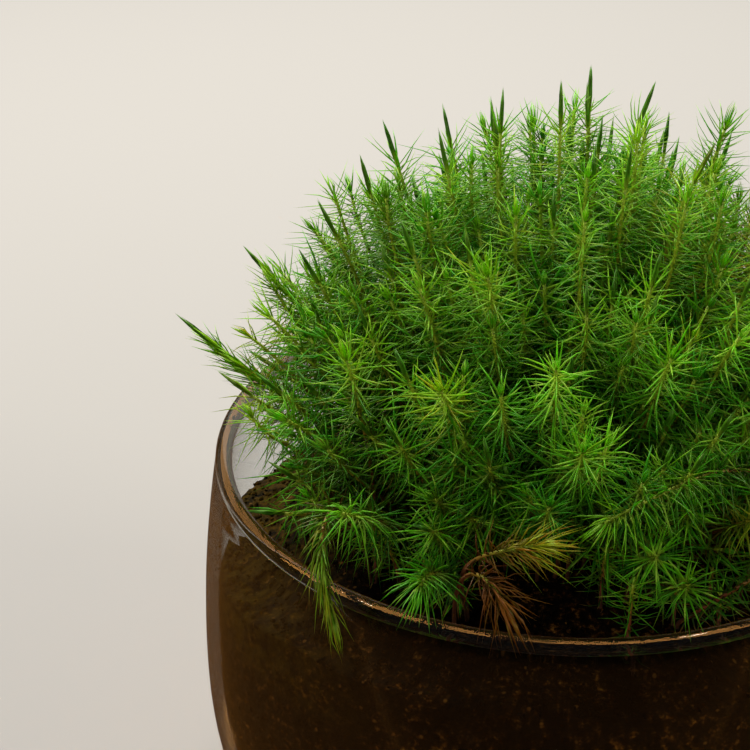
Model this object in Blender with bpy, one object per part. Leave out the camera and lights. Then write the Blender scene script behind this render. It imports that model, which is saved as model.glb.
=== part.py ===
"""A clump of haircap moss that grows in a round glass jar of potting soil.

Units are metres, +Z is up and the origin is the middle of the jar's foot. The moss is a dome of
shoots. Each shoot is one solid: a stem that rises from the soil, its leaves fused to it, and the
closed spear of young leaves at its tip.
"""

import math
import random

import bmesh
import bpy
from mathutils import Quaternion, Vector
from mathutils.bvhtree import BVHTree
from mathutils.kdtree import KDTree

MM = 0.001
UP = Vector((0, 0, 1))
GAP = 0.3 * MM  # kept between pieces that touch

# The jar
JAR_HEIGHT = 60 * MM
BASE_RADIUS = 36 * MM
BELLY_RADIUS = 50.3 * MM
BELLY_HEIGHT = 30 * MM
MOUTH_RADIUS = 47.8 * MM
WALL = 1.8 * MM
FLOOR = 2.4 * MM
LIP_RADIUS = 1.15 * MM  # the fire-polished bead, a little thicker than the wall
LIP_MIDDLE = MOUTH_RADIUS - WALL / 2
LIP_TURNS = (-25, 35, 90, 145, 205)  # degrees round the bead, from the outer wall to the inner
FOOT_POWER = 2.4  # 2 makes the foot a quarter ellipse, more makes it squarer
FOOT_STEPS = 5
SIDE_STEPS = 2
ROUND_STEPS = 36

# The soil, a low mound with soft lumps that falls away on one side
SOIL_EDGE = 49 * MM
SOIL_RISE = 6 * MM
SOIL_FALL = 8 * MM
FALL_SIDE = math.radians(150)  # round from +X
FALL_FROM = 26 * MM  # from the middle
SOIL_LUMP = 0.7 * MM
LUMP_ACROSS = (5.1 * MM, 4.3 * MM)
SOIL_RINGS = (0.82, 0.6, 0.35)

# The dome of moss, measured from the middle of the jar's mouth
DOME_RADIUS = 50 * MM
DOME_HEIGHT = 50 * MM
DOME_SINK = 5 * MM
DOME_LOWEST = math.radians(76)  # from straight up
ROOT_SHARE = 0.56  # a root's distance from the middle, as a share of its tip's
RISE_SHARE = 0.36  # of the way to the tip that a shoot stands straight
HEADING_SHARE = 0.34  # of the way that it already points as its tip does
LEAN_SHARE = 0.2
TIP_LIFT = 0.35  # how far a tip turns up from the dome's own direction
GOLDEN_ANGLE = math.pi * (3 - math.sqrt(5))
RULE_SHOOTS = 35
TIP_SPACING = 10.5 * MM
STEM_SPACING = 3.2 * MM

# One shoot
STEM_RADIUS = 0.75 * MM
TOP_RADIUS = 0.5 * MM
STEM_SIDES = 5
SPEAR_LENGTH = 6.5 * MM
LEAF_LENGTH = 7.2 * MM
SHORTEST_LEAF = 0.8 * MM
LEAF_BANDS = 4
BARE_SHARE = 0.3
LOW_LEAF_RISE = math.radians(18)
TOP_LEAF_RISE = math.radians(46)
PATH_STEPS = 48

# Shoots placed by hand, in millimetres from the middle of the mouth: root (x, y), tip (x, y, z)
# and the way the tip points
PLACED_SHOOTS = (
    ((-20, 6), (-44, 9, 26), (-6, 1, 8)),
    ((-19, -4), (-36, -3, 31), (-4, -1, 9)),
    ((-16, 8), (-28, 5, 41), (-2, 0, 9)),
    ((-13, 15), (-25, 17, 41), (-3, 2, 9)),
    ((-9, -1), (-18, 0, 46.5), (-2, 0, 9)),
    ((-5, 6), (-9, 8, 49), (1, 1, 9)),
    ((-1, -1), (-2, 4, 51.5), (0, 1, 9)),
    ((3, 10), (3, 17, 49), (0, 2, 9)),
    ((7, 4), (11, 8, 49.5), (4, 1, 8)),
    ((6, -6), (6, -9, 48), (1, -1, 9)),
    ((11, -5), (17, -7, 47), (5, -1, 8)),
    ((-25, -18), (-30, -25, 28), (-2, -3, 9)),
    ((-14, -22), (-19, -34, 28), (-3, -5, 7)),
    ((-10, -13), (-13, -25, 39), (-2, -4, 8)),
    ((-5, -24), (-5, -36, 32), (-1, -5, 7)),
    ((-14, -30), (-21, -46, 5), (-1, -8, -3)),
    ((6, -28), (8, -47, 11), (0, -9, 4)),
)
# Shoots with a bend of their own, by the four handles of the curve that each follows
BENT_SHOOTS = (
    ((-24, 3, -8), (-32, 3, 2), (-44, 3, 8), (-53, 3, 19)),
    ((-26, -22, -8), (-32, -25, 16), (-35, -40, 8), (-30, -43, -3)),
    ((27, -20, -8), (27, -30, 22), (12, -37, 17), (-1, -45, 14)),
    ((12, -31, -9), (13, -42, 0), (22, -41, 8), (33, -41, 13)),
)


def clear_scene():
    for old in list(bpy.data.objects):
        bpy.data.objects.remove(old, do_unlink=True)


def material(name, colour, roughness, transmission=0.0, ior=1.5):
    made = bpy.data.materials.new(name)
    made.use_nodes = True
    shader = made.node_tree.nodes["Principled BSDF"]
    shader.inputs["Base Color"].default_value = (*colour, 1)
    shader.inputs["Roughness"].default_value = roughness
    shader.inputs["Transmission Weight"].default_value = transmission
    shader.inputs["IOR"].default_value = ior
    made.diffuse_color = (*colour, 1)
    return made


def new_object(name, shape, finish):
    mesh = bpy.data.meshes.new(name)
    shape.to_mesh(mesh)
    shape.free()
    mesh.materials.append(finish)
    made = bpy.data.objects.new(name, mesh)
    bpy.context.scene.collection.objects.link(made)
    return made


def turned(outline):
    """A closed solid turned from an outline that runs from the axis below to the axis above."""
    shape = bmesh.new()
    rings = []
    for radius, height in outline:
        count = ROUND_STEPS if radius > 0 else 1
        turns = [2 * math.pi * i / count for i in range(count)]
        rings.append(
            [shape.verts.new((radius * math.cos(a), radius * math.sin(a), height)) for a in turns]
        )
    for low, high in zip(rings, rings[1:]):
        for i in range(ROUND_STEPS):
            j = (i + 1) % ROUND_STEPS
            corners = (low[i % len(low)], low[j % len(low)], high[j % len(high)], high[i % len(high)])
            shape.faces.new(list(dict.fromkeys(corners)))
    bmesh.ops.recalc_face_normals(shape, faces=shape.faces)
    return shape


def side_radius(inset, height):
    """The radius of the jar's side above its belly, this far inside its outer face."""
    share = (height - BELLY_HEIGHT) / (JAR_HEIGHT - BELLY_HEIGHT)
    return BELLY_RADIUS - inset - (BELLY_RADIUS - MOUTH_RADIUS) * share**2


def bowl_curve(inset, floor, top):
    """(radius, height) up the side of the jar, this far inside its outer face, from floor to top."""
    belly = BELLY_RADIUS - inset
    points = []
    for i in range(FOOT_STEPS + 1):
        turn = math.pi / 2 * (1 - i / FOOT_STEPS)
        across = math.cos(turn) ** (2 / FOOT_POWER)
        down = math.sin(turn) ** (2 / FOOT_POWER)
        radius = BASE_RADIUS + (belly - BASE_RADIUS) * across
        points.append((radius, BELLY_HEIGHT - (BELLY_HEIGHT - floor) * down))
    for i in range(1, SIDE_STEPS + 1):
        height = BELLY_HEIGHT + (top - BELLY_HEIGHT) * i / SIDE_STEPS
        points.append((side_radius(inset, height), height))
    return points


def glass_jar(finish):
    top = JAR_HEIGHT - 2.2 * LIP_RADIUS
    outer = bowl_curve(0, 0, top)
    inner = bowl_curve(WALL, FLOOR, top)
    lip = []
    for degrees in LIP_TURNS:
        turn = math.radians(degrees)
        across = LIP_MIDDLE + LIP_RADIUS * math.cos(turn)
        lip.append((across, JAR_HEIGHT - LIP_RADIUS + LIP_RADIUS * math.sin(turn)))
    jar = new_object("glass_jar", turned([(0, 0), *outer, *lip, *inner[::-1], (0, FLOOR)]), finish)
    jar.data.shade_smooth()
    jar.data.set_sharp_from_angle(angle=math.radians(50))


def soil_height(x, y):
    across = math.hypot(x, y)
    edge = BELLY_RADIUS - WALL
    mound = SOIL_RISE * (1 - (across / edge) ** 2)
    lumps = math.sin(x / LUMP_ACROSS[0] + 1.3) * math.cos(y / LUMP_ACROSS[1] - 0.4)
    facing = max(0, x * math.cos(FALL_SIDE) + y * math.sin(FALL_SIDE)) / max(across, MM)
    out = max(0, across - FALL_FROM) / (edge - FALL_FROM)
    fall = SOIL_FALL * facing**2 * out**2 * (3 - 2 * out)
    return SOIL_EDGE + mound + SOIL_LUMP * lumps - fall


def soil(finish):
    """The soil, and a tree of its faces that a stem's foot is set on."""
    side = bowl_curve(WALL + GAP, FLOOR + GAP, SOIL_EDGE)
    edge = side[-1][0]
    top = [(edge * share, SOIL_EDGE) for share in SOIL_RINGS]
    shape = turned([(0, FLOOR + GAP), *side, *top, (0, SOIL_EDGE)])
    for vertex in shape.verts:
        if vertex.co.z > SOIL_EDGE - GAP:
            height = soil_height(vertex.co.x, vertex.co.y)
            wider = side_radius(WALL + GAP, height) / edge
            vertex.co = (vertex.co.x * wider, vertex.co.y * wider, height)
    bmesh.ops.triangulate(shape, faces=shape.faces)
    ground = BVHTree.FromBMesh(shape)
    new_object("soil", shape, finish)
    return ground


def curve_point(handles, share):
    """A point of the cubic curve with these four handles."""
    a, b, c, d = handles
    rest = 1 - share
    return a * rest**3 + b * (3 * rest * rest * share) + c * (3 * rest * share * share) + d * share**3


def curve_points(handles, count):
    return [curve_point(handles, i / (count - 1)) for i in range(count)]


def from_mouth(point):
    return Vector((point[0] * MM, point[1] * MM, JAR_HEIGHT + point[2] * MM))


def rising_handles(root, tip, heading):
    """A shoot that stands up from its root and bends over to point its tip the given way."""
    start = Vector((root[0], root[1], SOIL_EDGE + SOIL_RISE / 2))
    span = (tip - start).length
    lean = Vector((tip.x - start.x, tip.y - start.y, 0))
    first = start + UP * RISE_SHARE * span + lean * LEAN_SHARE
    return start, first, tip - heading.normalized() * HEADING_SHARE * span, tip


def rule_shoot(index, count, chance):
    """One of count shoots spread evenly over the dome, each turned a golden angle from the last."""
    share = (index + 0.5) / count
    polar = math.acos(1 - share * (1 - math.cos(DOME_LOWEST)))
    around = index * GOLDEN_ANGLE + chance.uniform(-0.08, 0.08)
    stretch = chance.uniform(0.93, 1.03)
    across = DOME_RADIUS * math.sin(polar) * stretch
    rise = (DOME_HEIGHT + DOME_SINK) * math.cos(polar) * stretch
    out = Vector((across * math.cos(around), across * math.sin(around), rise))
    tip = out + UP * (JAR_HEIGHT - DOME_SINK)
    root = (tip.x * ROOT_SHARE, tip.y * ROOT_SHARE)
    return rising_handles(root, tip, out.normalized() + UP * TIP_LIFT)


def stands_apart(handles, others):
    """Whether a shoot's tip and its stem both keep their distance from these others."""
    if min((handles[3] - other[3]).length for other in others) < TIP_SPACING:
        return False
    near = [point for other in others for point in curve_points(other, 21)]
    return min((a - b).length for a in curve_points(handles, 21)[3:] for b in near) > STEM_SPACING


def shoot_curves():
    """The handles of every shoot: those placed by hand, then the ones that fill the dome."""
    by_hand = []
    for root, tip, heading in PLACED_SHOOTS:
        start = (root[0] * MM, root[1] * MM)
        by_hand.append(rising_handles(start, from_mouth(tip), Vector(heading)))
    for handles in BENT_SHOOTS:
        by_hand.append(tuple(from_mouth(point) for point in handles))
    count = RULE_SHOOTS
    while True:
        chance = random.Random(11)
        filling = [rule_shoot(i, count, chance) for i in range(count)]
        apart = [handles for handles in filling if stands_apart(handles, by_hand)]
        if len(apart) >= RULE_SHOOTS:
            return by_hand + apart[:RULE_SHOOTS]
        count += 1


def rooted(handles, ground):
    """The curve with its foot set on the highest soil under the stem."""
    start = handles[0].copy()
    heights = []
    for x, y in ((0, 0), (1, 0), (-1, 0), (0, 1), (0, -1)):
        above = Vector((start.x + x * STEM_RADIUS, start.y + y * STEM_RADIUS, JAR_HEIGHT))
        heights.append(ground.ray_cast(above, -UP)[0].z)
    start.z = max(heights) + GAP
    return start, *handles[1:]


def in_glass(point):
    """Whether a point is in the jar's upper wall, or within a gap of it."""
    from_middle = abs(math.hypot(point.x, point.y) - LIP_MIDDLE)
    return point.z < JAR_HEIGHT + 2 * GAP and from_middle < LIP_RADIUS + 2 * GAP


def leaf_reach(base, aim, own, stems, full):
    """How long a leaf may grow before it nears a neighbour's stem, or the glass."""
    reach = full
    while reach > SHORTEST_LEAF:
        points = [base + aim * reach * share for share in (0.4, 0.7, 1.0, 1.12)]
        if not any(stems.find(p)[1] // PATH_STEPS != own or in_glass(p) for p in points):
            break
        reach *= 0.88
    return reach


def stem_rings(shape, handles, stations):
    """(vertices, middle, direction) of each ring of the stem, each turned half a side from the last."""
    rings = []
    along = UP
    side = Vector((1, 0, 0))
    for k, share in enumerate(stations):
        middle = curve_point(handles, share)
        behind = curve_point(handles, max(0, share - 0.02))
        ahead = (curve_point(handles, share + 0.02) - behind).normalized()
        if k:  # the foot stays level
            side = along.rotation_difference(ahead) @ side
            along = ahead
        radius = STEM_RADIUS + (TOP_RADIUS - STEM_RADIUS) * share
        turns = [2 * math.pi * (i + 0.5 * k) / STEM_SIDES for i in range(STEM_SIDES)]
        corners = [middle + Quaternion(along, turn) @ side * radius for turn in turns]
        rings.append(([shape.verts.new(corner) for corner in corners], middle, along))
    return rings


def leaf(shape, facet, low, high, rise, reach_of):
    """Draws one facet of the stem out into a leaf."""
    base = (facet[0].co + facet[1].co + facet[2].co) / 3
    ahead = (low[2] + high[2]).normalized()
    out = base - (low[1] + high[1]) / 2
    out = (out - ahead * out.dot(ahead)).normalized()
    aim = out * math.cos(rise) + ahead * math.sin(rise)
    tip = shape.verts.new(base + aim * reach_of(base, aim))
    for a, b in ((0, 1), (1, 2), (2, 0)):
        shape.faces.new((facet[a], facet[b], tip))


def shoot(own, handles, stems, finish, chance):
    """A five-sided stem with a leaf grown out of each facet, ending in its closed spear."""
    points = curve_points(handles, 21)
    length = sum((b - a).length for a, b in zip(points, points[1:]))
    leafy = 1 - SPEAR_LENGTH / length - BARE_SHARE
    stations = [0] + [BARE_SHARE + leafy * i / LEAF_BANDS for i in range(LEAF_BANDS + 1)]
    shape = bmesh.new()
    rings = stem_rings(shape, handles, stations)
    shape.faces.new(rings[0][0][::-1])

    def reach_of(base, aim):
        return leaf_reach(base, aim, own, stems, LEAF_LENGTH * chance.uniform(0.85, 1.1))

    for k, (low, high) in enumerate(zip(rings, rings[1:])):
        rise = LOW_LEAF_RISE + (TOP_LEAF_RISE - LOW_LEAF_RISE) * (k - 1) / (LEAF_BANDS - 1)
        for i in range(STEM_SIDES):
            a, b = low[0][i], low[0][(i + 1) % STEM_SIDES]
            c, d = high[0][i], high[0][(i + 1) % STEM_SIDES]
            for facet in ((a, b, c), (c, b, d)):
                if k == 0:
                    shape.faces.new(facet)
                else:
                    leaf(shape, facet, low, high, rise, reach_of)
    spear = shape.verts.new(handles[3])
    last = rings[-1][0]
    for i in range(STEM_SIDES):
        shape.faces.new((last[i], last[(i + 1) % STEM_SIDES], spear))
    new_object(f"shoot_{own + 1:02d}", shape, finish)


def main():
    clear_scene()
    glass_jar(material("clear glass", (0.95, 0.97, 0.96), 0.02, transmission=1.0, ior=1.47))
    ground = soil(material("potting soil", (0.045, 0.022, 0.01), 0.95))
    greens = (
        material("fresh moss", (0.09, 0.26, 0.015), 0.5),
        material("deep moss", (0.03, 0.12, 0.01), 0.5),
        material("olive moss", (0.17, 0.2, 0.02), 0.55),
    )
    curves = [rooted(handles, ground) for handles in shoot_curves()]
    stems = KDTree(len(curves) * PATH_STEPS)
    for own, handles in enumerate(curves):
        for i, point in enumerate(curve_points(handles, PATH_STEPS)):
            stems.insert(point, own * PATH_STEPS + i)
    stems.balance()
    chance = random.Random(5)
    for own, handles in enumerate(curves):
        shoot(own, handles, stems, greens[own % len(greens)], chance)


main()
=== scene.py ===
# %% [markdown]
# # A moss clump in a glass jar
#
# The real thing is a cushion of haircap moss, a few hundred upright plants, growing in dark
# soil in a small clear glass jar. The measured model gives the jar, the soil and the largest
# shoots as plain solids. This lesson dresses them: real glass, crumbly soil, and shoots with
# every leaf drawn, all in the same place and at the same size.

import math
import random

import bpy
import numpy as np
from mathutils import Matrix, Vector


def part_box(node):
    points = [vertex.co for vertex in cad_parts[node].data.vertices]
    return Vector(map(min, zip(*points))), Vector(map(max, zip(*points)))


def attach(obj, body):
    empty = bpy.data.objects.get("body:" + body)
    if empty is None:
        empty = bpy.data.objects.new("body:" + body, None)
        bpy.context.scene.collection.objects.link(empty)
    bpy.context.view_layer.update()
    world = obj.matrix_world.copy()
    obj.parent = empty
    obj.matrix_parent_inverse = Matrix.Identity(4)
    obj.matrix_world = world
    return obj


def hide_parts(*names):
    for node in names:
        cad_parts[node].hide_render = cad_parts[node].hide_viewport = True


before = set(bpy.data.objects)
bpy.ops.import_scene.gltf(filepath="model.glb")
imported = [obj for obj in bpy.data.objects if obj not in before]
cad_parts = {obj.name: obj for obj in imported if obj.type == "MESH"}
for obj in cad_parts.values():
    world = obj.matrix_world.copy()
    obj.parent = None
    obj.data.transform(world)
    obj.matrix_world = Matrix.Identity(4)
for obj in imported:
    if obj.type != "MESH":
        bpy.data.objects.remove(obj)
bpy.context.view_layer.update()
MM = 0.001
print("pieces in the measured model:", len(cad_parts))

# %% [markdown]
# ## Sizes
#
# Everything is in metres. The jar's height and the height of the soil's underside are read from the
# measured model. What a box can't tell, such as the wall's thickness, is written here once and used
# wherever it is needed.

# %% The jar's and the soil's sizes
jar_low, jar_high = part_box("glass_jar")
soil_low, soil_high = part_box("soil")
JAR_HEIGHT = jar_high.z
BELLY_RADIUS = 50.3 * MM
BELLY_HEIGHT = 30 * MM
BASE_RADIUS = 36 * MM
MOUTH_RADIUS = 47.8 * MM
WALL = 1.8 * MM
FLOOR = 2.4 * MM
LIP_RADIUS = 1.15 * MM
LIP_MIDDLE = MOUTH_RADIUS - WALL / 2
FOOT_POWER = 2.4
GAP = soil_low.z - FLOOR
SOIL_EDGE = 49 * MM
SOIL_RISE = 6 * MM
SOIL_LUMP = 0.7 * MM
SOIL_FALL = 8 * MM
FALL_SIDE = math.radians(150)
FALL_FROM = 26 * MM
LUMP_ACROSS = (5.1 * MM, 4.3 * MM)
print(f"jar {JAR_HEIGHT / MM:.1f} mm high, gap to the soil {GAP / MM:.2f} mm")

# %% [markdown]
# ## The camera
#
# The camera was matched to the ellipse that the jar's round mouth makes in the photograph. A
# narrow lens from about thirty centimetres, looking down by 28 degrees, puts the mouth's middle
# right of the frame's middle, so the jar leaves the picture at the right and below.

# %% Place the camera
FRAME_SIDE = 750  # pixels
VIEW_ANGLE = math.radians(20)
LOOK_DOWN = math.radians(28.4)
MOUTH_MIDDLE_PIXEL = (563, 441.4)
BRIGHT_LINE_RADIUS = 46.3 * MM
CAMERA_AWAY = 6.355 * BRIGHT_LINE_RADIUS


def add_camera():
    focal = FRAME_SIDE / 2 / math.tan(VIEW_ANGLE / 2)
    right = Vector((1, 0, 0))
    up = Vector((0, math.sin(LOOK_DOWN), math.cos(LOOK_DOWN)))
    ahead = Vector((0, math.cos(LOOK_DOWN), -math.sin(LOOK_DOWN)))
    across = (MOUTH_MIDDLE_PIXEL[0] - FRAME_SIDE / 2) / focal * CAMERA_AWAY
    above = (FRAME_SIDE / 2 - MOUTH_MIDDLE_PIXEL[1]) / focal * CAMERA_AWAY
    place = Vector((0, 0, JAR_HEIGHT)) - right * across - up * above - ahead * CAMERA_AWAY
    bpy.ops.object.camera_add(location=place, rotation=(math.pi / 2 - LOOK_DOWN, 0, 0))
    camera = bpy.context.object
    camera.name = "photo_camera"
    camera.data.angle = VIEW_ANGLE
    camera.data.clip_start = 0.01
    camera.data.clip_end = 20
    bpy.context.scene.camera = camera
    return camera


camera = add_camera()
print("camera at", [round(c, 3) for c in camera.location])

# %% [markdown]
# ## A few helpers
#
# Operators act on whatever is selected, and the measured model is selected after loading, so
# each new piece starts from an empty selection. A finished piece keeps its place in its mesh:
# its object goes back to the origin.

# %% Helpers for modelling by operators
def start_piece():
    if bpy.context.object and bpy.context.object.mode != "OBJECT":
        bpy.ops.object.mode_set(mode="OBJECT")
    bpy.ops.object.select_all(action="DESELECT")


def edit_mode(on=True):
    bpy.ops.object.mode_set(mode="EDIT" if on else "OBJECT")


def pull(rise, scale):
    """Extrudes the selected ring straight up, then scales it about the middle axis."""
    bpy.ops.mesh.extrude_region_move(TRANSFORM_OT_translate={"value": (0, 0, rise)})
    bpy.ops.transform.resize(value=(scale, scale, 1), center_override=(0, 0, 0))


def settle(piece, name):
    """Names a piece and writes its place into its mesh."""
    bpy.ops.object.select_all(action="DESELECT")
    piece.select_set(True)
    bpy.context.view_layer.objects.active = piece
    bpy.ops.object.transform_apply(location=True, rotation=True, scale=True)
    piece.name = piece.data.name = name
    return piece


def count_triangles(piece):
    return sum(len(face.vertices) - 2 for face in piece.data.polygons)


# %% [markdown]
# Materials are built from nodes. These two helpers add a node with its values set and join two
# sockets, so that each material below reads as a short list.

# %% Helpers for materials
def new_material(name):
    made = bpy.data.materials.new(name)
    made.use_nodes = True
    return made, made.node_tree, made.node_tree.nodes["Principled BSDF"]


def add_node(tree, kind, inputs=None, **settings):
    node = tree.nodes.new(kind)
    for key, value in settings.items():
        setattr(node, key, value)
    for key, value in (inputs or {}).items():
        node.inputs[key].default_value = value
    return node


def join(tree, source, target):
    tree.links.new(source, target)


def ramp(tree, source, stops):
    """A colour ramp with (position, colour) stops, fed by a value."""
    node = add_node(tree, "ShaderNodeValToRGB")
    elements = node.color_ramp.elements
    while len(elements) < len(stops):
        elements.new(0.5)
    for element, (position, colour) in zip(elements, stops):
        element.position = position
        element.color = (*colour, 1)
    join(tree, source, node.inputs["Fac"])
    return node.outputs["Color"]


def mixed(tree, share, first, second, blend="MIX"):
    """Mixes two colours. A share, or a colour, is a socket or a plain value."""
    node = add_node(tree, "ShaderNodeMix", data_type="RGBA", blend_type=blend)
    for value, socket in ((share, node.inputs[0]), (first, node.inputs[6]), (second, node.inputs[7])):
        if isinstance(value, bpy.types.NodeSocket):
            join(tree, value, socket)
        else:
            socket.default_value = value if isinstance(value, float) else (*value, 1)
    return node.outputs[2]


def noise(tree, place, scale, detail=3.0, roughness=0.5):
    node = add_node(tree, "ShaderNodeTexNoise", {"Scale": scale, "Detail": detail, "Roughness": roughness})
    join(tree, place, node.inputs["Vector"])
    return node.outputs["Fac"]


def span(tree, source, low, high, to_low, to_high):
    """Maps a value from one range to another, and clamps it."""
    values = {"From Min": low, "From Max": high, "To Min": to_low, "To Max": to_high}
    node = add_node(tree, "ShaderNodeMapRange", values)
    join(tree, source, node.inputs["Value"])
    return node.outputs["Result"]


def bump(tree, height, strength, distance, shader):
    node = add_node(tree, "ShaderNodeBump", {"Strength": strength, "Distance": distance})
    join(tree, height, node.inputs["Height"])
    join(tree, node.outputs["Normal"], shader.inputs["Normal"])


# %% [markdown]
# ## The glass jar
#
# The real jar is clear, almost colourless glass about two millimetres thick. Its cut rim was
# melted round in a flame, which leaves a bead that catches the light as a bright line, and its
# foot is rounded and thicker. It could be turned from a curve with a Screw. Here a circle is
# drawn up the outside, over the bead and down the inside, ring by ring, because that gives one
# closed wall with its true thickness.

# %% The jar's outline
def side_radius(inset, height):
    """The radius of the jar's side above its belly, this far inside its outer face."""
    share = (height - BELLY_HEIGHT) / (JAR_HEIGHT - BELLY_HEIGHT)
    return BELLY_RADIUS - inset - (BELLY_RADIUS - MOUTH_RADIUS) * share**2


def bowl_curve(inset, floor, top, foot_steps, side_steps):
    """(radius, height) up the jar's side, this far inside its outer face."""
    belly = BELLY_RADIUS - inset
    points = []
    for i in range(foot_steps + 1):
        turn = math.pi / 2 * (1 - i / foot_steps)
        across = math.cos(turn) ** (2 / FOOT_POWER)
        down = math.sin(turn) ** (2 / FOOT_POWER)
        radius = BASE_RADIUS + (belly - BASE_RADIUS) * across
        points.append((radius, BELLY_HEIGHT - (BELLY_HEIGHT - floor) * down))
    for i in range(1, side_steps + 1):
        height = BELLY_HEIGHT + (top - BELLY_HEIGHT) * i / side_steps
        points.append((side_radius(inset, height), height))
    return points


def lip_curve(steps):
    """Round the bead, from the outer wall over the top to the inner wall."""
    points = []
    for i in range(steps + 1):
        turn = math.radians(-35 + 250 * i / steps)
        height = JAR_HEIGHT - LIP_RADIUS + LIP_RADIUS * math.sin(turn)
        points.append((LIP_MIDDLE + LIP_RADIUS * math.cos(turn), height))
    return points


def draw_rings(outline, sides):
    """A circle at the outline's first point, drawn through the other points as a closed skin."""
    start_piece()
    radius, height = outline[0]
    bpy.ops.mesh.primitive_circle_add(vertices=sides, radius=radius, fill_type="NGON", location=(0, 0, 0))
    piece = bpy.context.object
    edit_mode()
    bpy.ops.transform.translate(value=(0, 0, height))
    bpy.ops.mesh.select_all(action="SELECT")
    for new_radius, new_height in outline[1:]:
        pull(new_height - height, new_radius / radius)
        radius, height = new_radius, new_height
    bpy.ops.mesh.select_all(action="SELECT")
    bpy.ops.mesh.normals_make_consistent(inside=False)
    edit_mode(False)
    return piece


JAR_SIDES = 128
wall_top = JAR_HEIGHT - 2.2 * LIP_RADIUS
outside = bowl_curve(0, 0, wall_top, 18, 12)
inside = bowl_curve(WALL, FLOOR, wall_top, 18, 12)[::-1]
glass_jar = settle(draw_rings([*outside, *lip_curve(16), *inside], JAR_SIDES), "clear_jar")
bpy.ops.object.shade_smooth_by_angle(angle=math.radians(40))
print("jar:", count_triangles(glass_jar), "triangles")

# %% [markdown]
# Clear glass shows what is behind it, bent. Its surface is never perfect, so a faint unevenness
# in gloss and a very low waviness break up the reflections. Light has to reach the soil through
# the wall, so for shadows the glass counts as a clear film. A thick bead also traps light, which
# makes it look black in a small scene. A fifth of that film, mixed in everywhere, takes the
# hardness off.

# %% The glass
GLASS_FILM = 0.2


def make_glass():
    made, tree, shader = new_material("clear glass")
    shader.inputs["Base Color"].default_value = (0.97, 0.985, 0.98, 1)
    shader.inputs["Transmission Weight"].default_value = 1
    shader.inputs["IOR"].default_value = 1.46
    place = add_node(tree, "ShaderNodeTexCoord").outputs["Object"]
    smears = noise(tree, place, 45, 2)
    join(tree, span(tree, smears, 0.5, 0.8, 0.0, 0.012), shader.inputs["Roughness"])
    bump(tree, noise(tree, place, 55, 0), 0.015, 0.3 * MM, shader)
    clear = add_node(tree, "ShaderNodeBsdfTransparent", {"Color": (0.9, 0.93, 0.92, 1)})
    light = add_node(tree, "ShaderNodeLightPath")
    lit = add_node(tree, "ShaderNodeMixShader")
    join(tree, light.outputs["Is Shadow Ray"], lit.inputs[0])
    join(tree, shader.outputs[0], lit.inputs[1])
    join(tree, clear.outputs[0], lit.inputs[2])
    eased = add_node(tree, "ShaderNodeMixShader", {"Fac": GLASS_FILM})
    join(tree, lit.outputs[0], eased.inputs[1])
    join(tree, clear.outputs[0], eased.inputs[2])
    join(tree, eased.outputs[0], tree.nodes["Material Output"].inputs["Surface"])
    return made


glass_jar.data.materials.append(make_glass())
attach(glass_jar, "root")
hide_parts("glass_jar")

# %% [markdown]
# ## The soil
#
# Potting soil is fine crumbs of peat and bark, packed damp against the glass and lying loose on
# top in a low mound, which falls away at the left and behind. The body is one skin, drawn up like
# the jar. Its upper part is then let down to the height that the soil has all round, and a
# crumb-sized relief is pressed into it by Displace modifiers. Where damp soil touches glass there
# is no air between them, and it is seen right out to the jar's edge. So the skin starts a hair
# inside the glass, and the relief leaves some of it touching and some of it not.

# %% The body of the soil
SOIL_SIDES = 512
SOIL_RING = 0.8 * MM
SOIL_TOUCH = 0.22 * MM


def soil_height(x, y):
    across = np.hypot(x, y)
    edge = BELLY_RADIUS - WALL
    mound = SOIL_RISE * (1 - (across / edge) ** 2)
    lumps = np.sin(x / LUMP_ACROSS[0] + 1.3) * np.cos(y / LUMP_ACROSS[1] - 0.4)
    facing = np.maximum(0, x * math.cos(FALL_SIDE) + y * math.sin(FALL_SIDE)) / np.maximum(across, MM)
    out = np.maximum(0, across - FALL_FROM) / (edge - FALL_FROM)
    fall = SOIL_FALL * facing**2 * out**2 * (3 - 2 * out)
    return SOIL_EDGE + mound + SOIL_LUMP * lumps - fall


def press_in(piece, kind, scale, depth):
    """Pushes a procedural relief into the surface and keeps it."""
    texture = bpy.data.textures.new(kind.lower(), kind)
    texture.noise_scale = scale
    modifier = piece.modifiers.new("relief", "DISPLACE")
    modifier.texture = texture
    modifier.texture_coords = "GLOBAL"
    modifier.direction = "NORMAL"
    modifier.mid_level = 0
    modifier.strength = -depth
    bpy.ops.object.modifier_apply(modifier=modifier.name)


SOIL_INSET = WALL - SOIL_TOUCH
soil_side = bowl_curve(SOIL_INSET, FLOOR + GAP, SOIL_EDGE, 56, 32)


def let_down(piece):
    """Brings the side's upper part, and the top, to the height that the soil has there."""
    points = np.empty(len(piece.data.vertices) * 3)
    piece.data.vertices.foreach_get("co", points)
    points = points.reshape(-1, 3)
    x, y, z = points.T
    across = np.maximum(np.hypot(x, y), MM / 100)
    edge = soil_side[-1][0]
    there = soil_height(x, y)
    at_edge = soil_height(x / across * edge, y / across * edge)
    on_side = (z > BELLY_HEIGHT) & (z < SOIL_EDGE - GAP / 10)
    share = (z - BELLY_HEIGHT) / (SOIL_EDGE - BELLY_HEIGHT)
    lowered = np.where(on_side, BELLY_HEIGHT + (at_edge - BELLY_HEIGHT) * share, z)
    on_top = z >= SOIL_EDGE - GAP / 10
    lowered = np.where(on_top, there, lowered)
    wide = np.where(on_side, side_radius(SOIL_INSET, lowered) / across, 1.0)
    wide = np.where(on_top, side_radius(SOIL_INSET, lowered) / edge, wide)
    points = np.stack((x * wide, y * wide, lowered), axis=1)
    piece.data.vertices.foreach_set("co", points.ravel())
    piece.data.update()


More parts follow.
